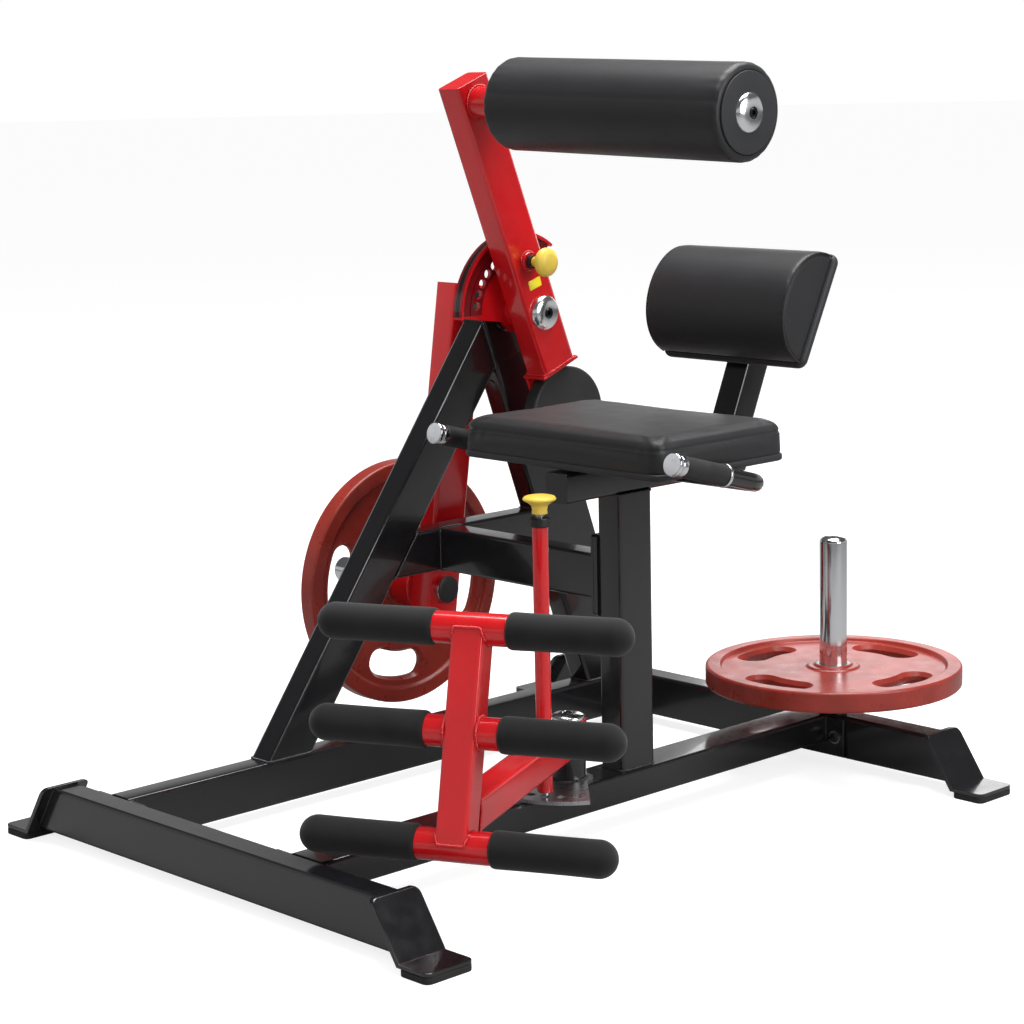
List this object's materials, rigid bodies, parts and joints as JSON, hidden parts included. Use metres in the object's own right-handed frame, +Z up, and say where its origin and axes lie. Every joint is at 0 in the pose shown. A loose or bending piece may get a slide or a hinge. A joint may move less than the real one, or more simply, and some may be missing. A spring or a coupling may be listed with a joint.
{
  "type": "plate loaded ab and back machine",
  "caption": "Plate loaded ab crunch and back extension machine with a swinging padded roller, seat, backrest and swivelling foot support.",
  "frame": {"origin": "middle of the machine's footprint, on the floor", "axes": "+Z up, -Y the front with the foot support, +X the side of the seat, -X the side of the weights"},
  "size_m": [1.2683, 1.4696, 1.2429],
  "materials": {
    "black_paint": "gloss black powder coat",
    "red_paint": "gloss red powder coat",
    "black_rubber": "matt black rubber",
    "chrome": "polished chrome",
    "black_vinyl": "satin black vinyl with a fine grain",
    "black_foam": "matt black foam skin",
    "black_board": "black backing board and collar",
    "steel": "plain ground steel",
    "black_counterweight": "satin black cast disc",
    "red_urethane": "red urethane skin over an iron core",
    "yellow_plastic": "yellow plastic"
  },
  "bodies": {
    "frame": {"front_crossbar": "black_paint", "rear_crossbar": "black_paint", "front_left_floor_pad": "black_rubber", "front_right_floor_pad": "black_rubber", "rear_left_floor_pad": "black_rubber", "rear_right_floor_pad": "black_rubber", "far_rail": "black_paint", "near_rail": "black_paint", "storage_horn": "chrome", "front_leg": "black_paint", "rear_leg": "black_paint", "bearing_housing": "black_paint", "leg_tie": "black_paint", "cross_beam": "black_paint", "seat_post": "black_paint", "under_seat_beam": "black_paint", "seat_pad": "black_vinyl", "left_handle": "black_paint", "left_grip": "black_foam", "left_handle_cap": "chrome", "right_handle": "black_paint", "right_grip": "black_foam", "right_handle_cap": "chrome", "back_post": "black_paint", "back_bracket": "black_paint", "back_board": "black_board", "back_pad": "black_vinyl", "index_plate": "chrome", "pivot_post": "black_paint"},
    "weight_swing": {"main_shaft": "steel", "weight_arm": "red_paint", "weight_horn": "chrome", "hub_cap": "chrome", "quadrant": "red_paint"},
    "roller_swing": {"roller_arm": "red_paint", "counterweight_bracket": "red_paint", "counterweight": "black_counterweight", "roller_axle": "red_paint", "roller_end_cap": "chrome"},
    "padded_roller": {"top_roller": "black_vinyl"},
    "selector": {"pull_pin": "steel", "pull_knob": "yellow_plastic"},
    "foot_support": {"foot_arm": "red_paint", "pivot_cap": "chrome", "foot_post": "red_paint", "foot_bar_top": "red_paint", "foot_bar_middle": "red_paint", "foot_bar_bottom": "red_paint", "top_left_foot_roller": "black_foam", "top_right_foot_roller": "black_foam", "middle_left_foot_roller": "black_foam", "middle_right_foot_roller": "black_foam", "bottom_left_foot_roller": "black_foam", "bottom_right_foot_roller": "black_foam", "rod_guide": "red_paint", "guide_collar": "black_board"},
    "lock": {"lock_rod": "steel", "lock_knob": "yellow_plastic"},
    "loaded_plate": {"loaded_weight_plate": "red_urethane"},
    "stored_plate": {"stored_weight_plate": "red_urethane"}
  },
  "joints": [
    {"name": "weight_swing_hinge", "type": "hinge", "parent": "frame", "child": "weight_swing", "pos_m": [0.01585, 0.18463, 0.804], "axis": [1, 0, 0], "range_deg": [-30, 40]},
    {"name": "roller_arm_hinge", "type": "hinge", "parent": "weight_swing", "child": "roller_swing", "pos_m": [0.01585, 0.18463, 0.804], "axis": [1, 0, 0], "range_deg": [-12, 36]},
    {"name": "top_roller_spin", "type": "hinge", "parent": "roller_swing", "child": "padded_roller", "pos_m": [-0.0662, 0.04386, 1.16692], "axis": [0.9995, 0.0114, -0.0293], "continuous": true},
    {"name": "pull_pin_slide", "type": "slide", "parent": "roller_swing", "child": "selector", "axis": [1, 0, 0], "range_m": [-0.005, 0], "stiffness_N_per_m": 400, "springref_m": -0.011},
    {"name": "foot_support_swivel", "type": "hinge", "parent": "frame", "child": "foot_support", "pos_m": [0.19885, -0.12237, 0], "axis": [0, 0, 1], "range_deg": [-26, 26]},
    {"name": "lock_rod_lift", "type": "slide", "parent": "foot_support", "child": "lock", "axis": [0, 0, 1], "range_m": [-0.005, 0], "stiffness_N_per_m": 400, "springref_m": -0.015},
    {"name": "loaded_plate_pull_off", "type": "slide", "parent": "weight_swing", "child": "loaded_plate", "axis": [-1, 0, 0], "range_m": [0, 0.2]},
    {"name": "stored_plate_lift_off", "type": "slide", "parent": "frame", "child": "stored_plate", "axis": [0, 0, 1], "range_m": [0, 0.3]}
  ]
}
